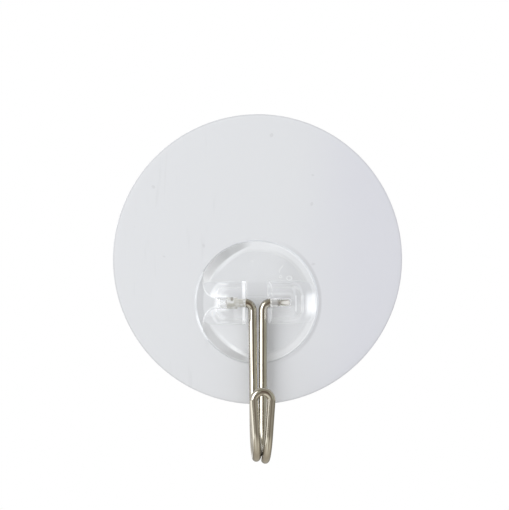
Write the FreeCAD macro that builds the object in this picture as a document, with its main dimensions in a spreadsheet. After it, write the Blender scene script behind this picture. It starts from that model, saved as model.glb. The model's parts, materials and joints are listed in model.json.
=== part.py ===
import FreeCAD, Part
import math
import os

import Sketcher

# Clear round wall hook: an adhesive film disc, a glue pad, a moulded base and one bent wire.
# The film's adhesive back lies in the XZ plane at y = 0 and faces +Y, which is the wall.
# +Z is up, and the hook stands out towards -Y.
# Film, glue pad and base are drawn lying down and then stood up against the wall: their own
# X is the part's X, their own Y is the part's Z, and their own Z points away from the wall.

vector = FreeCAD.Vector

# How a sketch refers to its own axes and origin, and to the points of a line or an arc.
ACROSS_AXIS, ALONG_AXIS = (-1, -2)
START, END, CENTRE = (1, 2, 3)
ORIGIN = (ACROSS_AXIS, START)

# Two levels or radii this close, in millimetres, are the same one.
SAME = 1e-4

# Driving dimensions, in millimetres and degrees.
SIZES = [
    ("film_diameter", 70.0, "clear disc that sticks to the wall"),
    ("film_thickness", 0.4, "film with its adhesive coat"),
    ("glue_margin", 0.5, "glue pad stays this far inside the edge of the base"),
    ("glue_thickness", 0.2, "clear glue between film and base"),
    ("base_diameter", 30.0, "moulded base"),
    ("base_left_shift", 0.5, "base centre, left of the film centre"),
    ("base_drop", 10.3, "base centre, below the film centre"),
    ("flat_diameter", 24.8, "flat front of the base, inside its bevel"),
    ("plate_thickness", 2.0, "base at its flat front"),
    ("rim_height", 0.6, "upright wall of the rim, below the bevel"),
    ("shoulder_radius", 0.9, "rounding between the flat front and the bevel"),
    ("rim_edge_break", 0.2, "broken edge between the bevel and the rim wall"),
    ("bar_foot_length", 29.0, "bar across the base, at the top of the rim wall"),
    ("bar_foot_width", 10.9, "the bar's foot, up and down"),
    ("bar_foot_corner", 3.0, "corner radius of the bar's foot"),
    ("bar_top_length", 20.4, "bar across the base, at its top"),
    ("bar_top_width", 8.6, "the bar's top, up and down"),
    ("bar_top_corner", 2.6, "corner radius of the bar's top"),
    ("bar_edge_radius", 1.2, "rounding of the edges round the bar's top"),
    ("roof_thickness", 1.35, "plastic in front of the bore"),
    ("slot_floor_width", 5.1, "slot that parts the bar into two bosses, at its floor"),
    ("slot_mouth_width", 6.3, "the same slot at the top of the bosses"),
    ("trough_width", 3.2, "shallow trough in the slot's floor, up and down"),
    ("land_length", 2.2, "close bore beside the slot in the left boss"),
    ("relief_diameter", 2.8, "wider bore behind that land, open to the left"),
    ("countersink_depth", 0.45, "cone at each bore mouth inside the slot"),
    ("mouth_neck_width", 2.0, "bell mouth at the left, at its narrow end"),
    ("mouth_flare_radius", 3.7, "the bell mouth's two curved sides"),
    ("mouth_wall_distance", 12.9, "outer wall of the bell mouth, from the base centre"),
    ("wire_diameter", 2.0, "spring wire"),
    ("running_clearance", 0.05, "wire to bore, on the radius"),
    ("rest_clearance", 0.3, "hanging legs to the flat front of the base"),
    ("end_clearance", 0.45, "wire end to the blind end of the bore"),
    ("wire_span", 15.2, "one wire end to the other, along the pivot"),
    ("wire_end_chamfer", 0.2, "broken edge of the cut ends"),
    ("top_bend_radius", 1.85, "bend from pivot end to leg, centre line"),
    ("leg_pitch_top", 2.5, "leg to leg at the pivot, centre lines"),
    ("leg_pitch_bottom", 2.12, "leg to leg at the bottom, centre lines"),
    ("hook_drop", 36.35, "pivot down to the bottom of the left leg, centre line"),
    ("right_leg_extra", 0.5, "the right leg hangs lower than the left by this much"),
    ("hook_reach", 14.6, "legs out to the front arms at the bottom, centre lines"),
    ("bottom_run", 0.3, "straight wire between the two bends at the bottom"),
    ("front_lean", 6.0, "outward lean of the front arms, in degrees"),
    ("front_turn", 1.2, "turn of the hook's front to the left of its legs, in degrees"),
    ("tip_drop", 20.1, "pivot down to the top of the tip loop, centre line"),
    ("tip_loop_radius", 2.05, "loop that joins the two front arms, centre line"),
]

document = FreeCAD.newDocument("round_hook")
sheet = document.addObject("Spreadsheet::Sheet", "Sizes")
for row, (alias, amount, meaning) in enumerate(SIZES, start=1):
    sheet.set(f"A{row}", alias)
    sheet.set(f"B{row}", str(amount))
    sheet.set(f"C{row}", meaning)
    sheet.setAlias(f"B{row}", alias)
document.recompute()

# Levels above the back of the base, and half sizes along its bar, as expressions on the sheet.
BORE_RADIUS = "(Sizes.wire_diameter / 2 + Sizes.running_clearance)"
PIVOT_HEIGHT = "(Sizes.plate_thickness + Sizes.rest_clearance + Sizes.wire_diameter / 2)"
BAR_HEIGHT = f"({PIVOT_HEIGHT} + {BORE_RADIUS} + Sizes.roof_thickness)"
SLOT_FLOOR_HALF = "(Sizes.slot_floor_width / 2)"
SLOT_MOUTH_HALF = "(Sizes.slot_mouth_width / 2)"
SLOT_PIVOT_HALF = (
    f"({SLOT_FLOOR_HALF} + ({SLOT_MOUTH_HALF} - {SLOT_FLOOR_HALF})"
    f" * ({PIVOT_HEIGHT} - Sizes.plate_thickness) / ({BAR_HEIGHT} - Sizes.plate_thickness))"
)
TROUGH_RADIUS = f"sqrt(({PIVOT_HEIGHT} - Sizes.plate_thickness) ^ 2 + (Sizes.trough_width / 2) ^ 2)"
BLIND_END = "(Sizes.wire_span / 2 + Sizes.end_clearance)"
OUTSIDE = "(Sizes.base_diameter / 2 + 1)"
BASE_STANDOFF = "(Sizes.film_thickness + Sizes.glue_thickness)"


def value(expression):
    """What an expression on the sheet comes to now, as a plain number."""
    found = document.Sizes.evalExpression(expression)
    return float(getattr(found, "Value", found))


def size(alias):
    """One driving dimension as the sheet holds it."""
    return value(f"Sizes.{alias}")


def new_body(label, across="0", standoff="0", drop="0"):
    """A body drawn lying down, stood up against the wall at offsets that the sheet gives."""
    body = document.addObject("PartDesign::Body", label)
    body.Label = label
    body.Placement = FreeCAD.Placement(vector(0, 0, 0), FreeCAD.Rotation(vector(1, 0, 0), 90))
    body.setExpression(".Placement.Base.x", across)
    body.setExpression(".Placement.Base.y", f"-({standoff})")
    body.setExpression(".Placement.Base.z", f"-({drop})")
    return body


def new_sketch(body, name, role, lift=None):
    """A sketch on one of the body's origin planes, lifted along the plane's normal if asked."""
    sketch = body.newObject("Sketcher::SketchObject", name)
    plane = next(item for item in body.Origin.OriginFeatures if item.Role == role)
    sketch.AttachmentSupport = [(plane, "")]
    sketch.MapMode = "FlatFace"
    if lift:
        sketch.setExpression(".AttachmentOffset.Base.z", lift)
    return sketch


def bind(sketch, constraint, expression):
    """Add a constraint and let the sheet drive its value."""
    index = sketch.addConstraint(constraint)
    sketch.setExpression(f"Constraints[{index}]", expression)


def hold_point(sketch, geometry, end, across, along):
    """Hold one point of a sketch at the signed distances that two expressions give."""
    distances = (("DistanceX", ALONG_AXIS, across), ("DistanceY", ACROSS_AXIS, along))
    for kind, axis, expression in distances:
        if expression == "0":
            sketch.addConstraint(Sketcher.Constraint("PointOnObject", geometry, end, axis))
        else:
            held = Sketcher.Constraint(kind, *ORIGIN, geometry, end, value(expression))
            bind(sketch, held, expression)


def draw_outline(sketch, corners, arc_centres=None, arc_radius=None):
    """A closed outline through corners that are pairs of expressions.

    Its sides are straight. A side that starts at a corner numbered in arc_centres is an arc,
    which turns anticlockwise about the centre given there.
    """
    arc_centres = arc_centres or {}
    points = [vector(value(across), value(along), 0) for across, along in corners]
    following = points[1:] + points[:1]
    for index, (start, end) in enumerate(zip(points, following)):
        if index in arc_centres:
            across, along = arc_centres[index]
            centre = vector(value(across), value(along), 0)
            circle = Part.Circle(centre, vector(0, 0, 1), value(arc_radius))
            first = math.atan2(start.y - centre.y, start.x - centre.x)
            last = math.atan2(end.y - centre.y, end.x - centre.x)
            sketch.addGeometry(Part.ArcOfCircle(circle, first, last), False)
        else:
            sketch.addGeometry(Part.LineSegment(start, end), False)
    for index in range(len(points)):
        after = (index + 1) % len(points)
        sketch.addConstraint(Sketcher.Constraint("Coincident", index, END, after, START))
    for index, (across, along) in enumerate(corners):
        hold_point(sketch, index, START, across, along)
    for index in arc_centres:
        bind(sketch, Sketcher.Constraint("Radius", index, value(arc_radius)), arc_radius)


def draw_circle(sketch, diameter):
    """A circle about the sketch origin, with its diameter from the sheet."""
    circle = Part.Circle(vector(0, 0, 0), vector(0, 0, 1), value(diameter) / 2)
    sketch.addGeometry(circle, False)
    sketch.addConstraint(Sketcher.Constraint("Coincident", 0, CENTRE, *ORIGIN))
    bind(sketch, Sketcher.Constraint("Diameter", 0, value(diameter)), diameter)


def draw_rounded_rectangle(sketch, length, width, corner):
    """A rectangle about the sketch origin with rounded corners, all three sizes from the sheet."""
    half_length = value(length) / 2
    half_width = value(width) / 2
    radius = value(corner)
    inner_x = half_length - radius
    inner_y = half_width - radius
    ends = [
        (vector(-inner_x, -half_width, 0), vector(inner_x, -half_width, 0)),
        (vector(half_length, -inner_y, 0), vector(half_length, inner_y, 0)),
        (vector(inner_x, half_width, 0), vector(-inner_x, half_width, 0)),
        (vector(-half_length, inner_y, 0), vector(-half_length, -inner_y, 0)),
    ]
    centres = [
        vector(inner_x, -inner_y, 0),
        vector(inner_x, inner_y, 0),
        vector(-inner_x, inner_y, 0),
        vector(-inner_x, -inner_y, 0),
    ]
    for start, end in ends:
        sketch.addGeometry(Part.LineSegment(start, end), False)
    for quarter, centre in enumerate(centres):
        circle = Part.Circle(centre, vector(0, 0, 1), radius)
        first = (quarter - 1) * math.pi / 2
        sketch.addGeometry(Part.ArcOfCircle(circle, first, first + math.pi / 2), False)
    bottom, right, top, left, low_right, high_right, high_left, low_left = range(8)
    turns = [
        (bottom, low_right, right),
        (right, high_right, top),
        (top, high_left, left),
        (left, low_left, bottom),
    ]
    for side, arc, next_side in turns:
        sketch.addConstraint(Sketcher.Constraint("Tangent", side, END, arc, START))
        sketch.addConstraint(Sketcher.Constraint("Tangent", arc, END, next_side, START))
    for arc in (high_right, high_left, low_left):
        sketch.addConstraint(Sketcher.Constraint("Equal", low_right, arc))
    sketch.addConstraint(Sketcher.Constraint("Horizontal", bottom))
    sketch.addConstraint(Sketcher.Constraint("Vertical", right))
    opposite = Sketcher.Constraint("Symmetric", low_right, CENTRE, high_left, CENTRE, *ORIGIN)
    sketch.addConstraint(opposite)
    across = Sketcher.Constraint("DistanceX", left, START, right, START, value(length))
    bind(sketch, across, length)
    along = Sketcher.Constraint("DistanceY", bottom, START, top, START, value(width))
    bind(sketch, along, width)
    bind(sketch, Sketcher.Constraint("Radius", low_right, radius), corner)


def round_edges(body, name, base, edges, radius):
    """Fillet the given edges of the body's latest feature, with the radius from the sheet."""
    fillet = body.newObject("PartDesign::Fillet", name)
    fillet.Base = (base, edges)
    fillet.Radius = value(radius)
    fillet.setExpression("Radius", radius)
    document.recompute()
    return fillet


def circles_at(shape, radius, height):
    """Names of the full circles of this radius at this height on a body lying down."""
    names = []
    for index, edge in enumerate(shape.Edges, start=1):
        curve = edge.Curve
        if not isinstance(curve, Part.Circle):
            continue
        if abs(curve.Radius - radius) < SAME and abs(curve.Center.z - height) < SAME:
            names.append(f"Edge{index}")
    return names


def edges_round_top(shape, height):
    """Names of the edges that lie wholly at this height on a body lying down."""
    names = []
    for index, edge in enumerate(shape.Edges, start=1):
        box = edge.BoundBox
        if abs(box.ZMin - height) < SAME and abs(box.ZMax - height) < SAME:
            names.append(f"Edge{index}")
    return names


# Adhesive film: a plain thin disc, coated on its back.
def make_film():
    body = new_body("adhesive_film")
    outline = new_sketch(body, "film_outline", "XY_Plane")
    draw_circle(outline, "Sizes.film_diameter")
    disc = body.newObject("PartDesign::Pad", "film_disc")
    disc.Profile = outline
    disc.setExpression("Length", "Sizes.film_thickness")
    document.recompute()
    return body


# Glue pad: the clear layer that joins the base to the front of the film.
def make_glue_pad():
    body = new_body(
        "glue_pad", "-Sizes.base_left_shift", "Sizes.film_thickness", "Sizes.base_drop"
    )
    outline = new_sketch(body, "glue_outline", "XY_Plane")
    draw_circle(outline, "Sizes.base_diameter - 2 * Sizes.glue_margin")
    disc = body.newObject("PartDesign::Pad", "glue_disc")
    disc.Profile = outline
    disc.setExpression("Length", "Sizes.glue_thickness")
    document.recompute()
    return body


# Moulded base: a bevelled disc that carries a bar, which a slot parts into two bosses.
def make_base():
    body = new_body("hook_base", "-Sizes.base_left_shift", BASE_STANDOFF, "Sizes.base_drop")
    add_plate(body)
    add_bar(body)
    cut_slot(body)
    cut_bore(body)
    cut_bell_mouth(body)
    return body


def add_plate(body):
    """The disc, turned about its centre: a rim wall, its broken edge, a bevel and a flat front."""
    rim = "Sizes.base_diameter / 2"
    slope = (
        "((Sizes.plate_thickness - Sizes.rim_height)"
        " / (Sizes.base_diameter / 2 - Sizes.flat_diameter / 2))"
    )
    section = new_sketch(body, "plate_section", "XZ_Plane")
    draw_outline(section, [
        ("0", "0"),
        (rim, "0"),
        (rim, "Sizes.rim_height - Sizes.rim_edge_break"),
        (f"{rim} - Sizes.rim_edge_break", f"Sizes.rim_height + Sizes.rim_edge_break * {slope}"),
        ("Sizes.flat_diameter / 2", "Sizes.plate_thickness"),
        ("0", "Sizes.plate_thickness"),
    ])
    plate = body.newObject("PartDesign::Revolution", "plate")
    plate.Profile = section
    plate.ReferenceAxis = (section, ["V_Axis"])
    plate.Angle = 360
    document.recompute()
    shoulder = circles_at(plate.Shape, size("flat_diameter") / 2, size("plate_thickness"))
    round_edges(body, "shoulder", plate, shoulder, "Sizes.shoulder_radius")


def add_bar(body):
    """The bar, lofted from a long foot at the rim up to a shorter top, so its ends are ramps."""
    foot = new_sketch(body, "bar_foot", "XY_Plane", "Sizes.rim_height")
    draw_rounded_rectangle(
        foot, "Sizes.bar_foot_length", "Sizes.bar_foot_width", "Sizes.bar_foot_corner"
    )
    top = new_sketch(body, "bar_top", "XY_Plane", BAR_HEIGHT)
    draw_rounded_rectangle(
        top, "Sizes.bar_top_length", "Sizes.bar_top_width", "Sizes.bar_top_corner"
    )
    bar = body.newObject("PartDesign::AdditiveLoft", "bar")
    bar.Profile = foot
    bar.Sections = [top]
    bar.Ruled = True
    document.recompute()
    edges = edges_round_top(bar.Shape, value(BAR_HEIGHT))
    round_edges(body, "bar_edge", bar, edges, "Sizes.bar_edge_radius")


def cut_slot(body):
    """The slot, wider at its mouth, which runs up and down through the bar to the flat front."""
    section = new_sketch(body, "slot_section", "XZ_Plane")
    draw_outline(section, [
        (f"-{SLOT_FLOOR_HALF}", "Sizes.plate_thickness"),
        (SLOT_FLOOR_HALF, "Sizes.plate_thickness"),
        (SLOT_MOUTH_HALF, BAR_HEIGHT),
        (f"-{SLOT_MOUTH_HALF}", BAR_HEIGHT),
    ])
    slot = body.newObject("PartDesign::Pocket", "slot")
    slot.Profile = section
    slot.Type = "ThroughAll"
    slot.Midplane = True
    document.recompute()


def cut_bore(body):
    """The bore along the pivot, turned in one cut as the mould's side pin forms it.

    From right to left: a blind close bore, a cone into the slot, a shallow trough in the
    slot's floor, a cone out of the slot, a short close land and a wider bore to the left.
    """
    mouth_radius = f"({BORE_RADIUS} + Sizes.countersink_depth)"
    cone_end = f"({SLOT_PIVOT_HALF} + Sizes.countersink_depth)"
    land_end = f"({SLOT_PIVOT_HALF} + Sizes.land_length)"

    def above_pivot(radius):
        return f"{PIVOT_HEIGHT} + {radius}"

    section = new_sketch(body, "bore_section", "XZ_Plane")
    draw_outline(section, [
        (BLIND_END, PIVOT_HEIGHT),
        (BLIND_END, above_pivot(BORE_RADIUS)),
        (cone_end, above_pivot(BORE_RADIUS)),
        (SLOT_PIVOT_HALF, above_pivot(mouth_radius)),
        (SLOT_FLOOR_HALF, above_pivot(mouth_radius)),
        (SLOT_FLOOR_HALF, above_pivot(TROUGH_RADIUS)),
        (f"-{SLOT_FLOOR_HALF}", above_pivot(TROUGH_RADIUS)),
        (f"-{SLOT_FLOOR_HALF}", above_pivot(mouth_radius)),
        (f"-{SLOT_PIVOT_HALF}", above_pivot(mouth_radius)),
        (f"-{cone_end}", above_pivot(BORE_RADIUS)),
        (f"-{land_end}", above_pivot(BORE_RADIUS)),
        (f"-{land_end}", above_pivot("Sizes.relief_diameter / 2")),
        (f"-{OUTSIDE}", above_pivot("Sizes.relief_diameter / 2")),
        (f"-{OUTSIDE}", PIVOT_HEIGHT),
    ])
    outer_point = vector(-value(OUTSIDE), value(PIVOT_HEIGHT), 0)
    blind_point = vector(value(BLIND_END), value(PIVOT_HEIGHT), 0)
    pivot = section.addGeometry(Part.LineSegment(outer_point, blind_point), True)
    hold_point(section, pivot, START, f"-{OUTSIDE}", PIVOT_HEIGHT)
    hold_point(section, pivot, END, BLIND_END, PIVOT_HEIGHT)
    bore = body.newObject("PartDesign::Groove", "bore")
    bore.Profile = section
    bore.ReferenceAxis = (section, ["Axis0"])
    bore.Angle = 360
    document.recompute()


def cut_bell_mouth(body):
    """The bell mouth: two flaring sides that open the bore's left end to the rim."""
    wall = "Sizes.mouth_wall_distance"
    neck = "(Sizes.mouth_neck_width / 2)"
    throat = "(Sizes.mouth_wall_distance - Sizes.mouth_flare_radius)"
    flare = f"({neck} + Sizes.mouth_flare_radius)"
    outline = new_sketch(body, "bell_mouth_outline", "XY_Plane", "Sizes.rim_height")
    corners = [
        (f"-{wall}", flare),
        (f"-{throat}", neck),
        (f"-{throat}", f"-{neck}"),
        (f"-{wall}", f"-{flare}"),
        (f"-{wall}", f"-{OUTSIDE}"),
        (f"-{OUTSIDE}", f"-{OUTSIDE}"),
        (f"-{OUTSIDE}", OUTSIDE),
        (f"-{wall}", OUTSIDE),
    ]
    upper_side = 0
    lower_side = 2
    centres = {upper_side: (f"-{throat}", flare), lower_side: (f"-{throat}", f"-{flare}")}
    draw_outline(outline, corners, centres, "Sizes.mouth_flare_radius")
    mouth = body.newObject("PartDesign::Pocket", "bell_mouth")
    mouth.Profile = outline
    mouth.Type = "ThroughAll"
    mouth.Reversed = True
    document.recompute()


# Wire hook: one length of wire, bent to shape, with both ends on the pivot.
def rounded_run(points, radii):
    """Straight runs through the points, with each inner point rounded by a tangent arc."""
    edges = []
    start = points[0]
    for before, point, after, radius in zip(points, points[1:], points[2:], radii):
        back = (before - point).normalize()
        onward = (after - point).normalize()
        half_angle = back.getAngle(onward) / 2
        cut = radius / math.tan(half_angle)
        bisector = (back + onward).normalize()
        arc_start = point + back * cut
        arc_end = point + onward * cut
        arc_middle = point + bisector * (radius / math.sin(half_angle) - radius)
        edges.append(Part.LineSegment(start, arc_start).toShape())
        edges.append(Part.Arc(arc_start, arc_middle, arc_end).toShape())
        start = arc_end
    edges.append(Part.LineSegment(start, points[-1]).toShape())
    return edges


def make_wire_hook():
    lean = math.radians(size("front_lean"))
    front_turn = math.radians(size("front_turn"))
    loop_radius = size("tip_loop_radius")
    loop_drop = size("tip_drop") + loop_radius * math.cos(lean)
    pivot = vector(
        -size("base_left_shift"),
        -(value(BASE_STANDOFF) + value(PIVOT_HEIGHT)),
        -size("base_drop"),
    )

    def at(across, out, down):
        """A point given by its distances across, out from and down from the pivot."""
        return pivot + vector(across, -out, -down)

    def in_front(across, out, down):
        """The same for the part below the legs, turned to the left about the middle of them."""
        turned_across = across * math.cos(front_turn) - out * math.sin(front_turn)
        turned_out = across * math.sin(front_turn) + out * math.cos(front_turn)
        return at(turned_across, turned_out, down)

    def reach(down):
        """How far out the leaning plane of the front arms is at this depth."""
        return size("hook_reach") + (size("hook_drop") - down) * math.tan(lean)

    def tangent_point(across, down):
        """Where the straight arm from this bottom corner touches the tip loop.

        In the leaning plane the angle at the loop's centre, between the line to the corner
        and the line to the touching point, has the loop radius over the corner's distance
        as its cosine.
        """
        along = (loop_drop - down) / math.cos(lean)
        distance = math.hypot(across, along)
        turn = math.atan2(along, across) + math.acos(loop_radius / distance)
        rise = loop_radius * math.sin(turn) * math.cos(lean)
        return loop_radius * math.cos(turn), loop_drop - rise

    def arm(side, extra):
        """One side of the wire, from its end on the pivot to the tip loop, as edges."""
        bottom = size("hook_drop") + extra
        low_across = size("leg_pitch_bottom") / 2
        tip_across, tip_down = tangent_point(low_across, bottom)
        points = [
            at(side * size("wire_span") / 2, 0, 0),
            at(side * size("leg_pitch_top") / 2, 0, 0),
            in_front(side * low_across, 0, bottom),
            in_front(side * low_across, reach(bottom), bottom),
            in_front(side * tip_across, reach(tip_down), tip_down),
        ]
        tangents = math.tan(math.pi / 4) + math.tan((math.pi / 2 - lean) / 2)
        bottom_radius = (reach(bottom) - size("bottom_run")) / tangents
        return rounded_run(points, [size("top_bend_radius"), bottom_radius, bottom_radius])

    left = arm(-1, 0)
    right = arm(1, size("right_leg_extra"))
    tip_top = in_front(0, reach(size("tip_drop")), size("tip_drop"))
    loop = Part.Arc(left[-1].lastVertex().Point, tip_top, right[-1].lastVertex().Point)
    path = document.addObject("Part::Feature", "wire_centre_line")
    path.Shape = Part.Wire(Part.__sortEdges__(left + [loop.toShape()] + right))

    section = document.addObject("Part::Circle", "wire_section")
    section.setExpression("Radius", "Sizes.wire_diameter / 2")
    section.Placement = FreeCAD.Placement(
        pivot - vector(size("wire_span") / 2, 0, 0), FreeCAD.Rotation(vector(0, 1, 0), 90)
    )
    document.recompute()

    wire = document.addObject("Part::Sweep", "bent_wire")
    wire.Sections = [section]
    wire.Spine = (path, [f"Edge{index + 1}" for index in range(len(path.Shape.Edges))])
    wire.Solid = True
    wire.Frenet = False
    document.recompute()
    print("wire length", round(path.Shape.Length, 3))
    straight_volume = math.pi * (size("wire_diameter") / 2) ** 2 * path.Shape.Length
    print("wire volume over section times length", round(wire.Shape.Volume / straight_volume, 6))

    hook = document.addObject("Part::Chamfer", "wire_hook")
    hook.Label = "wire_hook"
    hook.Base = wire
    chamfer = size("wire_end_chamfer")
    hook.Edges = [
        (index, chamfer, chamfer)
        for index, edge in enumerate(wire.Shape.Edges, start=1)
        if abs(abs(edge.BoundBox.Center.x - pivot.x) - size("wire_span") / 2) < SAME
    ]
    document.recompute()
    return hook


pieces = [make_film(), make_glue_pad(), make_base(), make_wire_hook()]
document.recompute()

for item in document.Objects:
    if "Invalid" in item.State or "Error" in item.State:
        raise RuntimeError(f"{item.Label} failed: {item.State}")
for piece in pieces:
    if piece.Shape.isNull() or not piece.Shape.isValid():
        raise RuntimeError(f"{piece.Label} has no valid shape")

os.makedirs("parts", exist_ok=True)
for piece in pieces:
    piece.Shape.exportStep(f"parts/{piece.Label}.step")
    box = piece.Shape.BoundBox
    print(
        piece.Label, "solids", len(piece.Shape.Solids), "volume", round(piece.Shape.Volume, 2),
        "x", round(box.XMin, 2), round(box.XMax, 2), "y", round(box.YMin, 2), round(box.YMax, 2),
        "z", round(box.ZMin, 2), round(box.ZMax, 2),
    )
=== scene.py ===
import json
import math

import bpy
import numpy as np
from bpy.props import FloatProperty, FloatVectorProperty, IntProperty, PointerProperty
from mathutils import Matrix, Vector

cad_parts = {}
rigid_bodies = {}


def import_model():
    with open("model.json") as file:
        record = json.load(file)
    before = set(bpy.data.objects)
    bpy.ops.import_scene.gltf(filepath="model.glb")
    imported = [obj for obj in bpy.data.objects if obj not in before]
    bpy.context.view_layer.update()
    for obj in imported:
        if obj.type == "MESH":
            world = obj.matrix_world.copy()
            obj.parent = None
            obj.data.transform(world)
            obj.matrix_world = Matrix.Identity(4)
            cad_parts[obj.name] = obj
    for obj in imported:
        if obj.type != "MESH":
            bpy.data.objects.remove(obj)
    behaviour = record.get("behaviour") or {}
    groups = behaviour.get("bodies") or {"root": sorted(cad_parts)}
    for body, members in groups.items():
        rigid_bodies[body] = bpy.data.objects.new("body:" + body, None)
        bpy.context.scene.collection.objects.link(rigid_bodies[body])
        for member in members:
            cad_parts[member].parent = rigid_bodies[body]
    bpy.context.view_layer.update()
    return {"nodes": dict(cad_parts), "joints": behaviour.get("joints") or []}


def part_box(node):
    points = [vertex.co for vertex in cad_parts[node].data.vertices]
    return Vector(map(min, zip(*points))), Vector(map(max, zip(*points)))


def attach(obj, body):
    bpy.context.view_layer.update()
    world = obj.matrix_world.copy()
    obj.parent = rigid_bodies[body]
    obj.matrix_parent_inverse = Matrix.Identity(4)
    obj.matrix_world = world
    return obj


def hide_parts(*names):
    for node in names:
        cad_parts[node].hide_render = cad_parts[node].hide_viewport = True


bl_info = {
    "name": "Clear Round Wall Hook",
    "version": (1, 0, 0),
    "blender": (4, 5, 0),
    "location": "View3D > Sidebar > Wall Hook",
    "description": "Dresses the packed wall hook: film, glue, clear base, bent wire and stage",
    "category": "Object",
}

# The object stands against the XZ plane: +Y points into the wall, -Y at the camera, +Z up.
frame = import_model()
SWING = frame["joints"][0]
PIVOT = Vector(SWING["pos_m"])
FILM_LOW, FILM_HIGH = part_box("adhesive_film")
GLUE_LOW, GLUE_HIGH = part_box("glue_pad")
BASE_LOW, BASE_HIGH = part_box("hook_base")
WIRE_LOW, WIRE_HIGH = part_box("wire_hook")
MM = 0.001
# Edges that turn by more than this stay sharp in the smooth pieces.
SHARP = math.radians(35)
# Rings on a disc's flat faces, as shares of its radius, and points on its rounding.
FLAT_RINGS = (0.5, 0.95)
ROUNDING_STEPS = 7
# Points on straight wire for each thickness of it, in its arms and in its tip loop. The
# bends have twice as many.
ARM_STEPS = 4
LOOP_STEPS = 8
# The wire nowhere runs along this direction, so its rings can be laid out from it.
SLANT = (0.6, 0.5, 0.62)
FLOOR_STEPS = 96

BASE_CENTRE = (BASE_LOW + BASE_HIGH) / 2

# The tables below give places right and up from the base's centre, in mm.
# Rings of voids in the glue: right, up, radius of the ring and of its section. They are a
# little lower than wide.
VOID_RINGS = (
    (5.75, 6.05, 0.34, 0.13),
    (7.85, 5.70, 0.62, 0.15),
    (-1.0, 9.85, 0.16, 0.13),
)
VOID_SQUASH = 0.8
VOID_STEPS = 32
VOID_SECTION = 8
# The wavy thread beside them: its upper end, its run to the lower end, the height of its
# waves, the angle in radians that they go through, its radius and its ends' broken edge.
THREAD_END = (6.25, 8.9)
THREAD_RUN = (-0.95, -1.9)
THREAD_WAVE = 0.16
THREAD_PHASE = 8.0
THREAD_RADIUS = 0.13
THREAD_CHAMFER = 0.05
THREAD_STEPS = 40

# Middle of the left boss, which the painted bright crescents go round.
LEFT_BOSS = (-5.8, -0.3)
# Painted light lines round the right boss: middle, half width, half height and corner radius.
PAINTED_BOSS_LINES = (
    (6.1, 3.3, 4.1, 2.0),
    (6.0, 2.9, 2.3, 1.2),
)
# Patches of painted light on the glue, painted shade where the gain is below 0: left, right,
# bottom, top, width of the edges, and gain.
PAINTED_LIGHT_PATCHES = (
    (-12.0, 1.0, -11.5, -5.4, 1.5, 0.09),  # low on the flat
    (-9.9, -7.2, -1.9, 1.9, 1.4, 0.5),  # the bore's mouth
    (9.2, 9.6, -2.2, 1.6, 0.3, 0.3),  # the right boss's end wall
    (-5.6, -2.4, -4.3, -1.3, 1.0, 0.18),  # lower half of the left boss
    (-3.55, -2.65, 0.9, 4.4, 0.3, 0.55),  # the slot's left wall, above the wire
    (-3.55, -2.65, -4.9, -1.2, 0.3, 0.55),  # the same wall below it
    (-2.3, 2.6, -4.8, 4.8, 0.6, -0.05),  # the slot's floor
    (3.4, 9.2, -4.6, -1.0, 1.2, 0.16),  # lower half of the right boss
)


class FilmSizes(bpy.types.PropertyGroup):
    """Sizes and colours of the adhesive film."""

    edge_round: FloatProperty(
        name="Edge rounding", description="Rounding of the film's front edge",
        default=0.12 * MM, subtype="DISTANCE", unit="LENGTH",
    )
    turns: IntProperty(
        name="Steps round the film", description="Facets round the film's edge", default=256,
    )
    light: FloatVectorProperty(
        name="Light tone", description="Milky film where it is lightest",
        default=(0.834, 0.852, 0.884), size=3, subtype="COLOR",
    )
    dark: FloatVectorProperty(
        name="Dark tone", description="Milky film where it is greyest",
        default=(0.79, 0.802, 0.865), size=3, subtype="COLOR",
    )
    speck: FloatVectorProperty(
        name="Speck", description="Tiny specks in the film",
        default=(0.55, 0.56, 0.58), size=3, subtype="COLOR",
    )


class GlueSizes(bpy.types.PropertyGroup):
    """Sizes and colours of the glue between film and base."""

    wetting: FloatProperty(
        name="Wetting", description="How far the glue wets into the base's back",
        default=0.02 * MM, subtype="DISTANCE", unit="LENGTH",
    )
    behind: FloatProperty(
        name="Behind", description="Air between the glue and the film, which keeps them apart",
        default=0.01 * MM, subtype="DISTANCE", unit="LENGTH",
    )
    turns: IntProperty(
        name="Steps round the glue", description="Facets round the glue's edge", default=128,
    )
    tone: FloatVectorProperty(
        name="Tone", description="Film seen through the glue",
        default=(0.82, 0.84, 0.87), size=3, subtype="COLOR",
    )
    void_tone: FloatVectorProperty(
        name="Void tone", description="Rims of the small voids in the glue",
        default=(0.93, 0.95, 0.97), size=3, subtype="COLOR",
    )


class MouldingSizes(bpy.types.PropertyGroup):
    """Finish of the clear moulded base."""

    edge_round: FloatProperty(
        name="Edge rounding", description="Radius that the mould leaves on sharp edges",
        default=0.3 * MM, subtype="DISTANCE", unit="LENGTH",
    )
    tint: FloatVectorProperty(
        name="Tint", description="Tint of the clear plastic",
        default=(0.985, 0.99, 0.992), size=3, subtype="COLOR",
    )
    frost: FloatVectorProperty(
        name="Frost", description="Frosted wall of the bore",
        default=(0.62, 0.615, 0.565), size=3, subtype="COLOR",
    )
    # Painted highlight colour for edges and near-front slopes; the milky right bore takes it too.
    painted_highlight_and_milk: FloatVectorProperty(
        name="Shine", description="Edges that catch the light",
        default=(0.93, 0.94, 0.95), size=3, subtype="COLOR",
    )
    scar: FloatVectorProperty(
        name="Scar", description="Dark scar at the upper end of the frosted wall",
        default=(0.30, 0.28, 0.24), size=3, subtype="COLOR",
    )
    refraction: FloatProperty(
        name="Refractive index", description="How strongly the plastic bends light", default=1.49,
    )
    gloss: FloatProperty(
        name="Gloss", description="How strongly the plastic mirrors; 0.5 is its full strength",
        default=0.25,
    )


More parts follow.
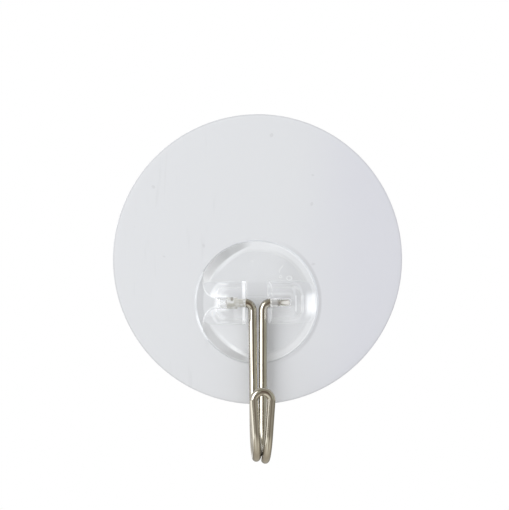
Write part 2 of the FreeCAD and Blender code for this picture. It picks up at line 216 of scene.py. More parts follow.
class WireSizes(bpy.types.PropertyGroup):
    """Sizes and colours of the bent wire."""

    thickness: FloatProperty(
        name="Wire", description="Thickness of the wire", default=2 * MM,
        subtype="DISTANCE", unit="LENGTH",
    )
    end_chamfer: FloatProperty(
        name="End chamfer", description="Broken edge of the cut ends", default=0.2 * MM,
        subtype="DISTANCE", unit="LENGTH",
    )
    top_bend: FloatProperty(
        name="Top bend", description="Radius from pivot end to leg, centre line",
        default=1.85 * MM, subtype="DISTANCE", unit="LENGTH",
    )
    pitch_top: FloatProperty(
        name="Leg pitch at the top", description="Leg to leg at the pivot, centre lines",
        default=2.5 * MM, subtype="DISTANCE", unit="LENGTH",
    )
    pitch_bottom: FloatProperty(
        name="Leg pitch at the bottom", description="Leg to leg at the bottom, centre lines",
        default=2.12 * MM, subtype="DISTANCE", unit="LENGTH",
    )
    uneven: FloatProperty(
        name="Uneven legs", description="The right leg hangs lower than the left by this much",
        default=0.5 * MM, subtype="DISTANCE", unit="LENGTH",
    )
    reach: FloatProperty(
        name="Reach", description="Legs out to the front arms at the bottom, centre lines",
        default=14.6 * MM, subtype="DISTANCE", unit="LENGTH",
    )
    bottom_run: FloatProperty(
        name="Bottom run", description="Straight wire between the two bends at the bottom",
        default=0.3 * MM, subtype="DISTANCE", unit="LENGTH",
    )
    lean: FloatProperty(
        name="Lean", description="Outward lean of the two front arms",
        default=math.radians(6), subtype="ANGLE", unit="ROTATION",
    )
    front_turn: FloatProperty(
        name="Front turn", description="Turn of the hook's front to the left of its legs",
        default=math.radians(1.2), subtype="ANGLE", unit="ROTATION",
    )
    tip_drop: FloatProperty(
        name="Tip drop", description="Pivot down to the top of the tip loop, centre line",
        default=20.1 * MM, subtype="DISTANCE", unit="LENGTH",
    )
    tip_loop: FloatProperty(
        name="Tip loop", description="Radius of the loop that joins the arms, centre line",
        default=2.05 * MM, subtype="DISTANCE", unit="LENGTH",
    )
    shear_length: FloatProperty(
        name="Shear length", description="Length of the sheared flat at the right end",
        default=2.2 * MM, subtype="DISTANCE", unit="LENGTH",
    )
    shear_depth: FloatProperty(
        name="Shear depth", description="Depth of the sheared flat at the wire's end",
        default=0.22 * MM, subtype="DISTANCE", unit="LENGTH",
    )
    around: IntProperty(
        name="Steps around", description="Facets around the wire", default=48,
    )
    plating: FloatVectorProperty(
        name="Plating", description="Polished nickel plating",
        default=(0.66, 0.63, 0.55), size=3, subtype="COLOR",
    )
    plating_dull: FloatVectorProperty(
        name="Dull plating", description="Plating in the drawing lines",
        default=(0.54, 0.505, 0.435), size=3, subtype="COLOR",
    )
    # Painted shade for the wire's sides, where they turn away from the eye.
    plating_side_shade: FloatVectorProperty(
        name="Plating from the side", description="Plating where it turns away from the eye",
        default=(0.37, 0.34, 0.285), size=3, subtype="COLOR",
    )
    # Painted glint: the sheared flat gets this near-white matt colour in place of light that it
    # catches.
    painted_glint: FloatVectorProperty(
        name="Bare steel", description="Bright steel of the sheared end",
        default=(0.95, 0.94, 0.91), size=3, subtype="COLOR",
    )


class StageSizes(bpy.types.PropertyGroup):
    """Camera, softbox, world and floor."""

    distance: FloatProperty(
        name="Camera distance", description="Camera to film centre", default=0.6,
        subtype="DISTANCE", unit="LENGTH",
    )
    frame_width: FloatProperty(
        name="Frame width", description="Width that the frame spans at the film",
        default=122.86 * MM, subtype="DISTANCE", unit="LENGTH",
    )
    frame_across: FloatProperty(
        name="Frame centre across", description="Frame centre right of the film centre",
        default=-0.87 * MM, subtype="DISTANCE", unit="LENGTH",
    )
    frame_up: FloatProperty(
        name="Frame centre up", description="Frame centre above the film centre",
        default=1.04 * MM, subtype="DISTANCE", unit="LENGTH",
    )
    turn: FloatProperty(
        name="Camera turn", description="Camera stands this far round to the left",
        default=math.radians(4.8), subtype="ANGLE", unit="ROTATION",
    )
    rise: FloatProperty(
        name="Camera rise", description="Camera looks down by this much",
        default=math.radians(1.5), subtype="ANGLE", unit="ROTATION",
    )
    roll: FloatProperty(
        name="Camera roll", description="Camera tilts by this much",
        default=math.radians(0.3), subtype="ANGLE", unit="ROTATION",
    )
    box_turn: FloatProperty(
        name="Softbox turn", description="Softbox stands this far round to the left",
        default=math.radians(42), subtype="ANGLE", unit="ROTATION",
    )
    box_rise: FloatProperty(
        name="Softbox rise", description="Softbox centre above level",
        default=math.radians(12), subtype="ANGLE", unit="ROTATION",
    )
    box_distance: FloatProperty(
        name="Softbox distance", description="Softbox to the object", default=0.7,
        subtype="DISTANCE", unit="LENGTH",
    )
    box_width: FloatProperty(
        name="Softbox width", description="Softbox across", default=0.46,
        subtype="DISTANCE", unit="LENGTH",
    )
    box_height: FloatProperty(
        name="Softbox height", description="Softbox up and down", default=1.15,
        subtype="DISTANCE", unit="LENGTH",
    )
    box_power: FloatProperty(
        name="Softbox power", description="Power of the softbox, in watts", default=2.5,
    )
    room_light: FloatProperty(
        name="Room light", description="Even light from all round on matt surfaces", default=0.80,
    )
    window: FloatProperty(
        name="Window", description="Brightness of the window that gloss shows", default=6.0,
    )
    glow: FloatProperty(
        name="Window glow", description="Brightness of the curtains round the window",
        default=1.7,
    )
    window_through: FloatProperty(
        name="Window through plastic", description="Brightness of the window through the base",
        default=2.2,
    )
    brown: FloatVectorProperty(
        name="Brown shade", description="Studio left of the window",
        default=(0.28, 0.23, 0.21), size=3, subtype="COLOR",
    )
    olive: FloatVectorProperty(
        name="Olive wall", description="Studio right of the camera",
        default=(0.46, 0.47, 0.41), size=3, subtype="COLOR",
    )
    table: FloatVectorProperty(
        name="Table", description="Table top that gloss shows below the object",
        default=(0.80, 0.76, 0.68), size=3, subtype="COLOR",
    )
    cloth: FloatVectorProperty(
        name="Cloth", description="Pale cloth on the table, below the window",
        default=(0.9, 0.89, 0.83), size=3, subtype="COLOR",
    )
    doorway: FloatVectorProperty(
        name="Doorway", description="Dark part of the studio",
        default=(0.16, 0.12, 0.10), size=3, subtype="COLOR",
    )
    ceiling: FloatVectorProperty(
        name="Ceiling", description="Studio above the camera",
        default=(0.34, 0.32, 0.275), size=3, subtype="COLOR",
    )
    floor: FloatVectorProperty(
        name="Floor", description="Pale matt floor",
        default=(0.52, 0.51, 0.49), size=3, subtype="COLOR",
    )
    floor_drop: FloatProperty(
        name="Floor drop", description="Floor below the film centre", default=0.36,
        subtype="DISTANCE", unit="LENGTH",
    )
    floor_radius: FloatProperty(
        name="Floor radius", description="Floor from its centre to its edge", default=1.5,
        subtype="DISTANCE", unit="LENGTH",
    )


class HookSizes(bpy.types.PropertyGroup):
    """All sizes and colours that a user would change."""

    film: PointerProperty(type=FilmSizes)
    glue: PointerProperty(type=GlueSizes)
    moulding: PointerProperty(type=MouldingSizes)
    wire: PointerProperty(type=WireSizes)
    stage: PointerProperty(type=StageSizes)


class Signal:
    """One shader socket that takes part in Python expressions. Each operator adds a Math node."""

    def __init__(self, shading, socket):
        self.shading = shading
        self.socket = socket

    def __add__(self, other):
        return self.shading.maths("ADD", self, other)

    def __radd__(self, other):
        return self.shading.maths("ADD", other, self)

    def __sub__(self, other):
        return self.shading.maths("SUBTRACT", self, other)

    def __rsub__(self, other):
        return self.shading.maths("SUBTRACT", other, self)

    def __mul__(self, other):
        return self.shading.maths("MULTIPLY", self, other)

    def __rmul__(self, other):
        return self.shading.maths("MULTIPLY", other, self)


class Shading:
    """A node tree under construction, for a material or the world."""

    def __init__(self, owner):
        owner.use_nodes = True
        self.tree = owner.node_tree
        self.tree.nodes.clear()

    def node(self, kind, settings=None, sockets=None, output=0):
        """Add a node: its settings first, then the values or links of its sockets."""
        node = self.tree.nodes.new(kind)
        for name, value in (settings or {}).items():
            setattr(node, name, value)
        for name, value in (sockets or {}).items():
            target = node.inputs[name]
            if isinstance(value, Signal):
                self.tree.links.new(value.socket, target)
            elif target.type == "RGBA" and len(value) == 3:
                target.default_value = (*value, 1.0)
            else:
                target.default_value = value
        return Signal(self, node.outputs[output]) if node.outputs else None

    def outputs(self, kind, names, sockets=None):
        """Several outputs of one node."""
        made = self.node(kind, None, sockets).socket.node
        return [Signal(self, made.outputs[name]) for name in names]

    def maths(self, operation, first, second=0.0):
        """A Math node of one or two numbers."""
        return self.node("ShaderNodeMath", {"operation": operation}, {0: first, 1: second})

    def vector(self, operation, first, second=(0.0, 0.0, 0.0), output="Vector"):
        """A Vector Math node of one or two vectors."""
        sockets = {0: first, 1: second}
        return self.node("ShaderNodeVectorMath", {"operation": operation}, sockets, output)

    def length(self, vector):
        """How long a vector is."""
        return self.vector("LENGTH", vector, output="Value")

    def stretched(self, point, scale):
        """The point with each of its parts multiplied by its own scale."""
        return self.vector("MULTIPLY", point, scale)

    def scaled(self, colour, factor):
        """A colour times a number that varies over the surface."""
        settings = {"operation": "SCALE"}
        return self.node("ShaderNodeVectorMath", settings, {0: colour, "Scale": factor})

    def parts(self, vector):
        """The three parts of a vector."""
        return self.outputs("ShaderNodeSeparateXYZ", "XYZ", {"Vector": vector})

    def flat(self, across, up):
        """A vector of two parts."""
        return self.node("ShaderNodeCombineXYZ", None, {"X": across, "Y": up})

    def object_point(self):
        """Where a point lies on the object, in the object's own metres."""
        return self.node("ShaderNodeTexCoord", output="Object")

    def noise(self, point, scale, detail=2.0, roughness=0.5):
        """Soft noise from 0 to 1; scale is in spots per metre."""
        sockets = {"Vector": point, "Scale": scale, "Detail": detail, "Roughness": roughness}
        return self.node("ShaderNodeTexNoise", None, sockets)

    def ease(self, value, low, high, to_low=0.0, to_high=1.0):
        """A smooth step: to_low below low, to_high above high."""
        settings = {"interpolation_type": "SMOOTHSTEP"}
        sockets = {
            "Value": value, "From Min": low, "From Max": high,
            "To Min": to_low, "To Max": to_high,
        }
        return self.node("ShaderNodeMapRange", settings, sockets)

    def band(self, value, low, high, soft):
        """1 between low and high, 0 beyond, with edges as wide as soft."""
        rise = self.ease(value, low - soft / 2, low + soft / 2)
        return rise * self.ease(value, high - soft / 2, high + soft / 2, 1.0, 0.0)

    def sector(self, angle, low, high, soft):
        """A band of an angle in radians, with its limits in degrees."""
        return self.band(angle, math.radians(low), math.radians(high), math.radians(soft))

    def rounded_box(self, across, up, half_across, half_up, corner):
        """Distance out from a rounded rectangle's edge, negative inside it.

        With q = |p| - half + corner in both directions, it is the length of the positive
        part of q, plus the larger part of q where both are negative, less the corner.
        """
        past = [
            self.maths("ABSOLUTE", value) - (half - corner)
            for value, half in ((across, half_across), (up, half_up))
        ]
        outer = self.length(self.vector("MAXIMUM", self.flat(*past)))
        larger = self.maths("MAXIMUM", *past)
        return outer + self.maths("MINIMUM", larger, 0.0) - corner

    def blend(self, factor, first, second):
        """First colour where factor is 0, second where it is 1."""
        sockets = {0: factor, 6: first, 7: second}
        return self.node("ShaderNodeMix", {"data_type": "RGBA"}, sockets, 2)

    def bump(self, height, distance, strength, **sockets):
        """A normal that height raises by distance."""
        sockets.update({"Height": height, "Distance": distance, "Strength": strength})
        return self.node("ShaderNodeBump", None, sockets)

    def principled(self, **sockets):
        """One Principled shader; underscores stand for spaces."""
        named = {name.replace("_", " "): value for name, value in sockets.items()}
        return self.node("ShaderNodeBsdfPrincipled", None, named, "BSDF")

    def surface(self, shader):
        """Close the tree with its shader."""
        self.node("ShaderNodeOutputMaterial", None, {"Surface": shader})


def new_finish(name):
    """A new material with an empty node tree."""
    material = bpy.data.materials.new(name)
    return material, Shading(material)


def from_base_centre(shading, point):
    """Right and up from the base's centre, the distance from it, and the turn from its left."""
    right, _, up = shading.parts(shading.vector("SUBTRACT", point, BASE_CENTRE))
    away = shading.length(shading.flat(right, up))
    turn = shading.maths("ARCTAN2", up, -1.0 * right)
    return right, up, away, shading.maths("ABSOLUTE", turn)


def film_finish(sizes):
    """Milky film: clouds between two close tones, specks and streaks, hardly uneven.

    On its front, round the base, lie a painted shadow of the base to the right and painted bright
    lines along the rim. The film is also painted lighter towards the left, where the softbox
    stands.
    """
    material, shading = new_finish("milky_film")
    point = shading.object_point()
    across, depth, _ = shading.parts(point)
    clouds = shading.noise(point, scale=45.0, detail=3.0)
    # Painted light: the clouds are lifted towards the left, so the film is painted lighter on the
    # side that the softbox lights.
    clouds = clouds * 0.3 + shading.ease(across, 0.0, 36 * MM, 0.6, 0.0)
    tone = shading.blend(shading.ease(clouds, 0.2, 0.75), sizes.dark, sizes.light)
    specks = shading.ease(shading.noise(point, scale=420.0, detail=0.0), 0.83, 0.86)
    tone = shading.blend(specks * 0.25, tone, sizes.speck)

    # Painted light and shade round the base: bright lines along its rim, and its shadow to the
    # right, since the base casts none.
    _, up, away, turn = from_base_centre(shading, point)
    lee = shading.ease(turn, math.radians(100), math.radians(150))
    left = shading.ease(turn, math.radians(42), math.radians(34))
    low_left = shading.ease(up, -1.5 * MM, -4.0 * MM)
    low_left = low_left * shading.ease(turn, math.radians(40), math.radians(34))
    rim = left * 0.15 + lee * 0.3 + low_left * 0.3
    rim = rim * shading.band(away, 14.3 * MM, 14.95 * MM, 0.2 * MM)
    shade = lee * shading.band(away, 15.0 * MM, 15.8 * MM, 0.6 * MM)
    front = shading.ease(depth, -0.2 * MM, -0.3 * MM)
    around = front * (rim - shade * 0.15)

    radius = (FILM_HIGH.x - FILM_LOW.x) / 2
    from_centre = shading.length(shading.stretched(point, (1.0, 0.0, 1.0)))
    edge = shading.ease(from_centre, radius - 0.45 * MM, radius - 0.15 * MM)
    streaks = shading.noise(shading.stretched(point, (1.0, 1.0, 0.12)), scale=700.0)
    scratched = shading.ease(streaks, 0.6, 0.75) * shading.ease(across, -8 * MM, -12 * MM)
    grain = shading.noise(point, scale=3500.0)
    waves = shading.noise(point, scale=160.0)
    shading.surface(shading.principled(
        Base_Color=shading.scaled(tone, 1.0 + around - edge * 0.12 - scratched * 0.035),
        Roughness=0.42 + grain * 0.12,
        IOR=1.5,
        Alpha=0.96,
        Normal=shading.bump(waves * 0.7 + grain * 0.05, 0.02 * MM, 0.35),
    ))
    return material


def painted_light_and_shade(shading, point):
    """Painted light and shade on the glue under the moulding, in place of how it gathers and
    spreads light; 1 where it does neither.

    Its left slope leaves two painted grey crescents of shade with a painted bright line inside
    them. Its right slope, the bore's mouth, the ends of the bar and the bosses get painted light,
    and the slot's floor a little painted shade.
    """
    right, up, away, turn = from_base_centre(shading, point)
    raised = shading.ease(up, -1.0 * MM, 1.0 * MM)
    lowered = 1.0 - raised
    side = shading.maths("ABSOLUTE", up)

    def ring(inner, outer, soft):
        return shading.band(away, inner * MM, outer * MM, soft * MM)

    # The painted shade crescents, with a painted bright line inside them: their inner edge swings
    # out towards the top and the bottom.
    past = shading.maths("MAXIMUM", turn - math.radians(45), 0.0)
    inwards = away - past * past * 2.6 * MM
    rim = away - raised * 0.35 * MM
    shade_crescent = shading.ease(inwards, 12.1 * MM, 12.5 * MM)
    shade_crescent = shade_crescent * shading.ease(rim, 14.2 * MM, 14.6 * MM, 1.0, 0.0)
    depth = shading.sector(turn, 22, 80, 16) * 0.32
    depth = depth + shading.sector(turn, 27, 60, 12) * raised * 0.12
    line = shading.band(inwards, 11.6 * MM, 12.15 * MM, 0.35 * MM)
    glow = shading.sector(turn, 38, 78, 16) + shading.sector(turn, 58, 76, 10) * lowered
    light = 1.0 - shade_crescent * depth + line * glow * 0.12

    # The rim: painted light on the lee side and at the top and bottom, painted shade at the
    # bore's mouth and on the upper right of the flat.
    lee = shading.ease(turn, math.radians(95), math.radians(125))
    mouth = shading.ease(turn, math.radians(25), math.radians(18))
    light = light + ring(12.9, 14.3, 0.5) * lee * 0.12 + ring(14.25, 14.95, 0.2) * lee * 0.3
    light = light + ring(12.4, 14.3, 0.6) * shading.sector(turn, 80, 112, 16) * 0.07
    light = light - ring(12.9, 14.5, 0.5) * mouth * 0.15
    light = light - shading.ease(right, 3.5 * MM, 9.5 * MM) * raised * 0.1

    # The bore's mouth: two thin painted bright arcs that lead to its painted bright spot.
    bend = shading.length(shading.flat(right + 9.3 * MM, side - 4.6 * MM))
    bend = shading.band(bend, 3.35 * MM, 3.65 * MM, 0.2 * MM)
    bend = bend * shading.ease(right, -9.0 * MM, -10.0 * MM)
    light = light + bend * shading.ease(side, 5.4 * MM, 4.6 * MM) * 0.45

    # The right end of the bar: a painted bright patch in its ramp.
    end = shading.rounded_box(right - 12.3 * MM, up + 0.4 * MM, 2.3 * MM, 2.7 * MM, 1.6 * MM)
    light = light + shading.ease(end, -1.3 * MM, 0.4 * MM, 0.48, 0.0)

    # The left boss: painted bright crescents round its end.
    beside, above = right - LEFT_BOSS[0] * MM, up - LEFT_BOSS[1] * MM
    end_highlight = shading.band(
        shading.length(shading.flat(beside, above)), 3.6 * MM, 4.5 * MM, 0.8 * MM
    )
    steep = shading.ease(shading.maths("ABSOLUTE", above), 1.2 * MM, 2.4 * MM)
    light = light + end_highlight * steep * shading.ease(beside, 1.4 * MM, -0.4 * MM) * 0.2

    # The right boss: painted light lines round its upper half.
    for middle, half_across, half_up, corner in PAINTED_BOSS_LINES:
        line = shading.rounded_box(
            right - middle * MM, up, half_across * MM, half_up * MM, corner * MM
        )
        light = light + shading.band(line, -0.6 * MM, 0.0, 0.4 * MM) * raised * 0.13

    # Patches of painted light, and of painted shade where the gain is below 0.
    for left, to_right, bottom, top, soft, gain in PAINTED_LIGHT_PATCHES:
        sideways = shading.band(right, left * MM, to_right * MM, soft * MM)
        patch = sideways * shading.band(up, bottom * MM, top * MM, soft * MM)
        light = light + patch * gain
    return light


def glue_finish(sizes):
    """Glue over the film: the film's tone, a little uneven, with painted light and shade from the
    moulding above it.
    """
    material, shading = new_finish("clear_glue")
    point = shading.object_point()
    clouds = shading.ease(shading.noise(point, scale=140.0, detail=3.0), 0.35, 0.65)
    tone = shading.blend(clouds, sizes.tone * 0.975, sizes.tone)
    shading.surface(shading.principled(
        # Painted light and shade from the moulding multiply the glue's tone.
        Base_Color=shading.scaled(tone, painted_light_and_shade(shading, point)),
        Roughness=0.5 + clouds * 0.1,
        IOR=1.48,
    ))
    return material


def void_finish(sizes):
    """The bright rims of small voids in the glue."""
    material, shading = new_finish("glue_voids")
    cells = shading.noise(shading.object_point(), scale=2600.0, detail=1.0)
    shading.surface(shading.principled(
        Base_Color=shading.blend(cells, sizes.void_tone * 0.94, sizes.void_tone),
        Roughness=0.25 + cells * 0.2,
        IOR=1.45,
    ))
    return material


def moulding_finish(sizes):
    """Clear moulded plastic: rounded edges with painted highlights, and a bore that the pin
    frosted.

    The painted highlights are a pale matt shader mixed in where the rounded normal turns away
    from the true one, and on slopes that nearly face the front. The bore's frost lies within its
    radius of the pivot's axis, left of the slot. Right of it the bore is only a little milky, in
    the same pale colour.
    """
    material, shading = new_finish("clear_moulding")
    point = shading.object_point()
    flow = shading.noise(point, scale=220.0, detail=1.0)
    rounded = shading.node("ShaderNodeBevel", {"samples": 8}, {"Radius": sizes.edge_round})
    true = shading.node("ShaderNodeNewGeometry", output="Normal")
    clear = shading.principled(
        Base_Color=sizes.tint,
        Roughness=0.012 + flow * 0.02,
        IOR=sizes.refraction,
        Specular_IOR_Level=sizes.gloss,
        Transmission_Weight=1.0,
        Normal=shading.bump(flow, 0.01 * MM, 0.3, Normal=rounded),
    )

    from_pivot = shading.vector("SUBTRACT", point, PIVOT)
    beside, _, above = shading.parts(from_pivot)
    off_axis = shading.length(shading.stretched(from_pivot, (0.0, 1.0, 1.0)))
    within = shading.ease(off_axis, 1.6 * MM, 1.5 * MM)
    bore = within * shading.band(beside, -7.6 * MM, -2.6 * MM, 0.4 * MM)
    milky = within * shading.band(beside, 2.6 * MM, 4.9 * MM, 1.2 * MM)
    scar = shading.band(beside, -6.6 * MM, -6.0 * MM, 0.3 * MM) * bore
    scar = scar * shading.ease(above, 0.3 * MM, 0.8 * MM)
    marks = shading.noise(point, scale=900.0, detail=3.0)
    tone = shading.blend(shading.ease(marks, 0.35, 0.6) * bore, sizes.painted_highlight_and_milk, sizes.frost)
    frost = shading.principled(
        Base_Color=shading.blend(scar, tone, sizes.scar),
        Roughness=0.45 + marks * 0.1,
        IOR=sizes.refraction,
    )

    # Painted highlights on the rounded edges and on slopes that nearly face the front.
    edge = shading.ease(shading.vector("DOT_PRODUCT", rounded, true, "Value"), 0.985, 0.8)
    edge = edge * shading.ease(off_axis, 1.5 * MM, 2.0 * MM, 0.35, 1.0)
    _, towards_wall, _ = shading.parts(true)
    shoulder_highlight = shading.band(towards_wall, -0.985, -0.86, 0.05)
    highlight_and_frost = shading.maths(
        "MAXIMUM", edge * 0.55 + shoulder_highlight * 0.12, bore * 0.85 + milky * 0.45
    )
    shading.surface(shading.node("ShaderNodeMixShader", None, {0: highlight_and_frost, 1: clear, 2: frost}))
    return material


def wire_finish(sizes):
    """Nickel plating over drawn wire: fine lines along the wire, faint clouds, a painted glint on
    the sheared end and painted shade at its sides.
    """
    material, shading = new_finish("nickel_plating")
    run = shading.node("ShaderNodeAttribute", {"attribute_name": "wire_run"}, None, "Vector")
    sheared = shading.node("ShaderNodeAttribute", {"attribute_name": "sheared"}, None, "Fac")
    along = shading.stretched(run, (1.0, 1.0, 0.03))
    lines = shading.noise(along, scale=5200.0, detail=3.0, roughness=0.6)
    clouds = shading.noise(run, scale=320.0)
    dull = shading.ease(lines * 0.6 + clouds * 0.4, 0.42, 0.68)
    plating = shading.blend(dull, sizes.plating, sizes.plating_dull)
    # Painted shade: darker plating where the wire turns away from the eye, in place of the dark
    # studio that it mirrors there.
    facing_away = shading.node("ShaderNodeLayerWeight", None, {"Blend": 0.5}, "Facing")
    facing_away = shading.ease(facing_away, 0.12, 0.5)
    plating = shading.blend(facing_away, plating, sizes.plating_side_shade)
    # The sheared flat is painted near-white and matt, as a glint.
    shading.surface(shading.principled(
        Base_Color=shading.blend(sheared, plating, sizes.painted_glint),
        Metallic=1.0 - sheared * 0.95,
        Roughness=0.07 + dull * 0.12 + sheared * 0.4,
        Normal=shading.bump(lines, 0.006 * MM, 0.5),
    ))
    return material


def floor_finish(sizes):
    """Pale matt floor that shows white to the camera and keeps the object's soft shadow."""
    material, shading = new_finish("pale_floor")
    camera = shading.node("ShaderNodeLightPath", output="Is Camera Ray")
    point = shading.object_point()
    grain = shading.noise(point, scale=90.0)
    outwards = shading.ease(shading.length(point), 0.5, 1.4, 0.6, 1.0)
    shading.surface(shading.principled(
        Base_Color=shading.blend(grain, sizes.floor * 0.96, sizes.floor),
        Roughness=0.9,
        Emission_Color=shading.scaled((1.0, 1.0, 1.0), camera * outwards),
        Emission_Strength=1.0,
    ))
    return material


def new_piece(name, points, faces, finish, body):
    """A mesh piece in place, with its finish, that rides on a body of the hook."""
    mesh = bpy.data.meshes.new(name)
    mesh.from_pydata(points.tolist(), [], faces)
    mesh.materials.append(finish)
    mesh.update()
    mesh.shade_smooth()
    mesh.set_sharp_from_angle(angle=SHARP)
    piece = bpy.data.objects.new(name, mesh)
    bpy.context.scene.collection.objects.link(piece)
    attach(piece, body)
    return piece


def grid_faces(rows, columns, closed=True):
    """Four-sided faces of a grid whose points run row by row, joined round if closed."""
    row = np.arange(rows - 1)[:, None] * columns
    column = np.arange(columns if closed else columns - 1)[None, :]
    onward = (column + 1) % columns
    corners = (row + column, row + onward, row + columns + onward, row + columns + column)
    return np.stack(corners, axis=-1).reshape(-1, 4)


def capped_faces(rows, columns):
    """Faces of a closed tube of rings, with the two ends closed to one point each.

    The points are the rings one after the other, then the first and the last end point.
    """
    sides = grid_faces(rows, columns)
    column = np.arange(columns)
    onward = (column + 1) % columns
    first_point = rows * columns
    last_ring = (rows - 1) * columns
    first = np.stack((np.full(columns, first_point), onward, column), axis=-1)
    last = np.stack(
        (np.full(columns, first_point + 1), last_ring + column, last_ring + onward), axis=-1
    )
    return sides.tolist() + first.tolist() + last.tolist()


def turned(profile, centre, steps):
    """Points and faces of a profile turned about an axis along Y through the centre.

    Ring i has the radius r_i at the depth y_i, so its points are the centre plus
    (r_i cos a, y_i, -r_i sin a) for a from 0 to a full turn. The first and last profile
    points lie on the axis.
    """
    radius, depth = np.array(profile[1:-1]).T
    angle = np.linspace(0, 2 * math.pi, steps, endpoint=False)
    across = radius[:, None] * np.cos(angle)
    along = np.broadcast_to(depth[:, None], across.shape)
    down = radius[:, None] * np.sin(angle)
    rings = np.stack((across, along, -down), axis=-1).reshape(-1, 3)
    ends = np.array([(0, profile[0][1], 0), (0, profile[-1][1], 0)])
    points = np.concatenate((rings, ends)) + np.array(centre)
    return points, capped_faces(len(radius), steps)


def disc(low, high, rounding, steps):
    """Points and faces of a disc that fills a box, its front edge rounded.

    With e the rounding and t from 0 to a quarter turn, its points have the radius
    R - e + e sin t and the depth front + e - e cos t.
    """
    radius = (high.x - low.x) / 2
    middle, outer = (radius * share for share in FLAT_RINGS)
    turn = np.linspace(0, math.pi / 2, ROUNDING_STEPS)
    corner_radius = radius - rounding + rounding * np.sin(turn)
    corner_depth = low.y + rounding - rounding * np.cos(turn)
    profile = [(0.0, low.y), (middle, low.y), (outer, low.y)]
    profile += zip(corner_radius.tolist(), corner_depth.tolist())
    profile += [(radius, high.y), (outer, high.y), (0.0, high.y)]
    centre = ((low.x + high.x) / 2, 0, (low.z + high.z) / 2)
    return turned(profile, centre, steps)


class WALLHOOK_OT_film(bpy.types.Operator):
    """Make the adhesive film: a turned disc with a finely rounded front edge"""

    bl_idname = "wallhook.film"
    bl_label = "Adhesive Film"

    def execute(self, context):
        sizes = context.scene.wall_hook.film
        points, faces = disc(FILM_LOW, FILM_HIGH, sizes.edge_round, sizes.turns)
        piece = new_piece(
            "milky_film", points, faces, film_finish(sizes), SWING["parent"]
        )
        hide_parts("adhesive_film")
        return {"FINISHED"}


def joined(shapes):
    """Points and faces of several shapes as one."""
    points = np.concatenate([shape[0] for shape in shapes])
    starts = np.cumsum([0] + [len(shape[0]) for shape in shapes[:-1]])
    faces = [
        [int(start) + corner for corner in face]
        for start, shape in zip(starts, shapes) for face in shape[1]
    ]
    return points, faces


def closed_ring(centre, radius, thick, squash):
    """Points and faces of a ring about an axis along Y, with a many-sided round section.

    With a the turn round the ring and b the turn round its section, a point is the centre
    plus ((R + r cos b) cos a, r sin b, squash (R + r cos b) sin a).
    """
    turn = np.linspace(0, 2 * math.pi, VOID_STEPS, endpoint=False)[:, None]
    section = np.linspace(0, 2 * math.pi, VOID_SECTION, endpoint=False)[None, :]
    away = radius + thick * np.cos(section)
    points = np.stack((
        away * np.cos(turn),
        np.broadcast_to(thick * np.sin(section), (turn.size, section.size)),
        squash * away * np.sin(turn),
    ), axis=-1).reshape(-1, 3)
    faces = grid_faces(turn.size + 1, section.size) % len(points)
    return points + np.array(centre), faces.tolist()


def glue_voids(sizes, front):
    """Small flat rings and a wavy thread, where glue didn't wet the moulding.

    The thread waves by a sine of its length.
    """
    def place(right, up):
        return BASE_CENTRE.x + right * MM, front, BASE_CENTRE.z + up * MM

    shapes = [
        closed_ring(place(right, up), radius * MM, thick * MM, VOID_SQUASH)
        for right, up, radius, thick in VOID_RINGS
    ]
    share = np.linspace(0, 1, THREAD_STEPS)
    wave = THREAD_WAVE * np.sin(share * THREAD_PHASE)
    right = THREAD_END[0] + THREAD_RUN[0] * share + wave
    up = THREAD_END[1] + THREAD_RUN[1] * share
    thread = np.stack(np.broadcast_arrays(*place(right, up)), axis=-1)
    shapes.append(tube(thread, THREAD_RADIUS * MM, THREAD_CHAMFER * MM, VOID_SECTION)[:2])
    return [(flattened(points, front, sizes.wetting), faces) for points, faces in shapes]


def flattened(points, front, depth):
    """Points pressed to within a depth of the front plane."""
    pressed = points.copy()
    pressed[:, 1] = front + np.clip(points[:, 1] - front, -depth, depth)
    return pressed


class WALLHOOK_OT_glue(bpy.types.Operator):
    """Make the glue layer and the small voids in it"""

    bl_idname = "wallhook.glue"
    bl_label = "Glue"

    def execute(self, context):
        sizes = context.scene.wall_hook.glue
        low = GLUE_LOW - Vector((0, sizes.wetting, 0))
        high = GLUE_HIGH - Vector((0, sizes.behind, 0))
        points, faces = disc(low, high, sizes.wetting, sizes.turns)
        layer = new_piece(
            "glue_layer", points, faces, glue_finish(sizes), SWING["parent"]
        )
        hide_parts("glue_pad")
        points, faces = joined(glue_voids(sizes, low.y))
        new_piece("glue_voids", points, faces, void_finish(sizes), SWING["parent"])
        return {"FINISHED"}


class WALLHOOK_OT_base(bpy.types.Operator):
    """Give the moulded base its clear plastic"""

    bl_idname = "wallhook.base"
    bl_label = "Moulded Base"

    def execute(self, context):
        node = frame["nodes"]["hook_base"]
        finish = moulding_finish(context.scene.wall_hook.moulding)
        for slot in node.material_slots:
            slot.material = finish
        # The base casts no shadow and matt surfaces don't see it; the glue's finish holds painted
        # light and shade in place of the light that the base gathers and spreads.
        node.visible_shadow = False
        node.visible_diffuse = False
        return {"FINISHED"}


